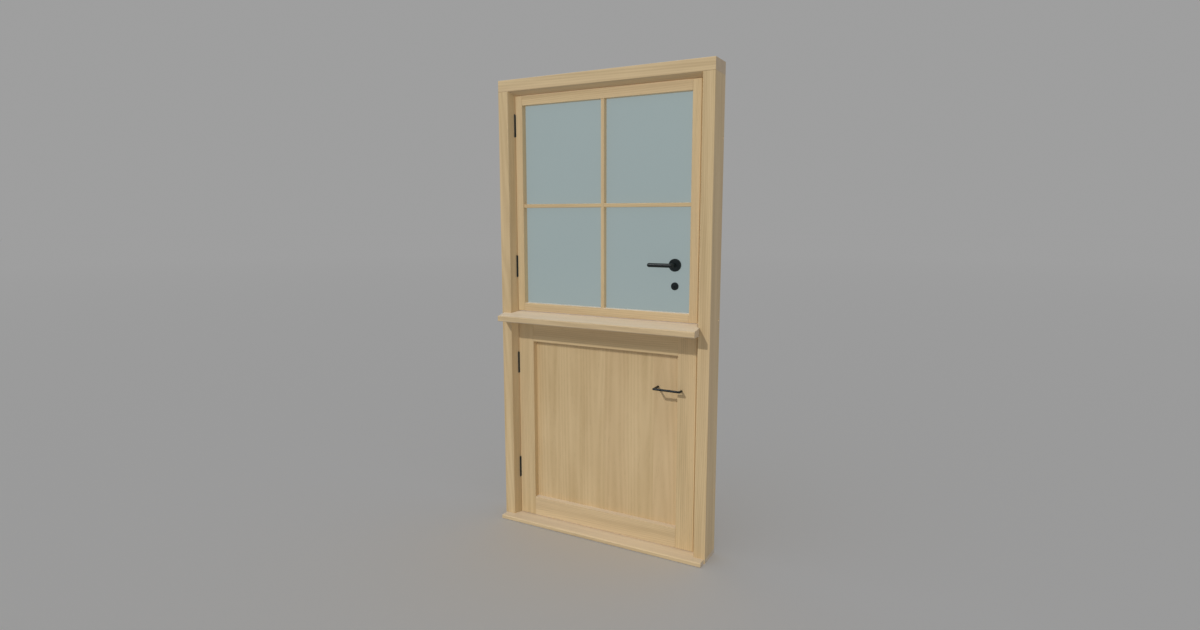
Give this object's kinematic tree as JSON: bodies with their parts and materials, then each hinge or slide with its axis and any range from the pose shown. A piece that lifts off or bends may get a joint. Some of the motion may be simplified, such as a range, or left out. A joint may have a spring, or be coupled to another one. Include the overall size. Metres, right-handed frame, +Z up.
{
  "type": "stable door with frame",
  "caption": "Two-leaf oak stable door in its frame: glazed upper leaf, panelled lower leaf, outward swing, and a serving shelf across the meeting line.",
  "frame": {"origin": "underside of the sill, middle of the width, in the plane of the frame's front face", "axes": "+X along the width from the hinge side to the lock side, +Y from the outside face to the inside face, +Z up"},
  "size_m": [1.054, 0.217, 2.115],
  "materials": {
    "frame_oak": "clear satin oil on light oak",
    "leaf_oak": "clear satin oil on light oak",
    "panel_oak": "clear satin oil on crown-cut oak",
    "shelf_oak": "clear satin oil on light oak",
    "satin_glass": "satin etched, pale blue-grey",
    "black_metal": "satin black powder coat",
    "steel": "plated steel",
    "seal_rubber": "matt black rubber"
  },
  "bodies": {
    "frame": {"head": "frame_oak", "hinge_jamb": "frame_oak", "lock_jamb": "frame_oak", "sill": "frame_oak", "frame_screws": "steel", "stop_seals": "seal_rubber", "hinge_frame_flaps": "black_metal", "hinge_pins": "black_metal", "hinge_frame_screws": "steel", "lock_keeper": "steel", "side_bolt_keeper": "steel", "keeper_screws": "steel", "shelf_pegs": "steel"},
    "shelf_board": {"shelf": "shelf_oak"},
    "upper_leaf": {"upper_hinge_stile": "leaf_oak", "upper_lock_stile": "leaf_oak", "upper_top_rail": "leaf_oak", "upper_bottom_rail": "leaf_oak", "glass_pane": "satin_glass", "glazing_beads": "leaf_oak", "glazing_bar_upright": "leaf_oak", "glazing_bars_cross": "leaf_oak", "inner_bar_upright": "leaf_oak", "inner_bars_cross": "leaf_oak", "upper_hinge_flaps": "black_metal", "upper_hinge_screws": "steel", "outer_rose": "black_metal", "inner_rose": "black_metal", "cylinder_rings": "black_metal", "lock_packer": "leaf_oak", "lock_case": "black_metal", "lock_cover": "black_metal", "lock_screws": "steel", "tie_bolt_barrel": "black_metal", "tie_bolt_screws": "steel"},
    "lever_set": {"outer_lever": "black_metal", "inner_lever": "black_metal", "spindle": "steel", "lock_follower": "steel"},
    "lift_bolt_body": {"lift_bolt": "steel"},
    "cylinder": {"cylinder_plug": "black_metal", "thumb_turn": "black_metal"},
    "deadbolt_body": {"deadbolt": "steel"},
    "tie_bolt": {"tie_bolt_rod": "steel"},
    "lower_leaf": {"lower_hinge_stile": "leaf_oak", "lower_lock_stile": "leaf_oak", "lower_top_rail": "leaf_oak", "lower_bottom_rail": "leaf_oak", "lower_panel": "panel_oak", "panel_beads": "leaf_oak", "lower_hinge_flaps": "black_metal", "lower_hinge_screws": "steel", "bow_pull": "black_metal", "pull_bolts": "steel", "tie_bolt_keeper": "black_metal", "side_bolt_barrel": "black_metal", "lower_bolt_screws": "steel"},
    "side_bolt": {"side_bolt_rod": "steel"}
  },
  "joints": [
    {"name": "upper_leaf_swing", "type": "hinge", "parent": "frame", "child": "upper_leaf", "pos_m": [-0.4585, 0.0325, 1], "axis": [0, 0, -1], "range_deg": [0, 100]},
    {"name": "lower_leaf_swing", "type": "hinge", "parent": "frame", "child": "lower_leaf", "pos_m": [-0.4585, 0.0325, 1], "axis": [0, 0, -1], "range_deg": [0, 100]},
    {"name": "lever_lift", "type": "hinge", "parent": "upper_leaf", "child": "lever_set", "pos_m": [0.342, 0.05, 1.287], "axis": [0, 1, 0], "range_deg": [0, 45]},
    {"name": "lift_bolt_throw", "type": "slide", "parent": "upper_leaf", "child": "lift_bolt_body", "axis": [1, 0, 0], "range_m": [0, 0.014]},
    {"name": "cylinder_turn", "type": "hinge", "parent": "upper_leaf", "child": "cylinder", "pos_m": [0.342, 0.06, 1.196], "axis": [0, 1, 0], "range_deg": [0, 90]},
    {"name": "deadbolt_throw", "type": "slide", "parent": "upper_leaf", "child": "deadbolt_body", "axis": [1, 0, 0], "range_m": [0, 0.014]},
    {"name": "tie_bolt_slide", "type": "slide", "parent": "upper_leaf", "child": "tie_bolt", "axis": [0, 0, -1], "range_m": [0, 0.07]},
    {"name": "side_bolt_slide", "type": "slide", "parent": "lower_leaf", "child": "side_bolt", "axis": [1, 0, 0], "range_m": [0, 0.016]},
    {"name": "shelf_slide", "type": "slide", "parent": "frame", "child": "shelf_board", "axis": [0, -1, 0], "range_m": [0, 0.06]}
  ],
  "couplings": [
    {"joint": "lift_bolt_throw", "follows": "lever_lift", "m_per_rad": 0.017825},
    {"joint": "deadbolt_throw", "follows": "cylinder_turn", "m_per_rad": 0.008912}
  ]
}
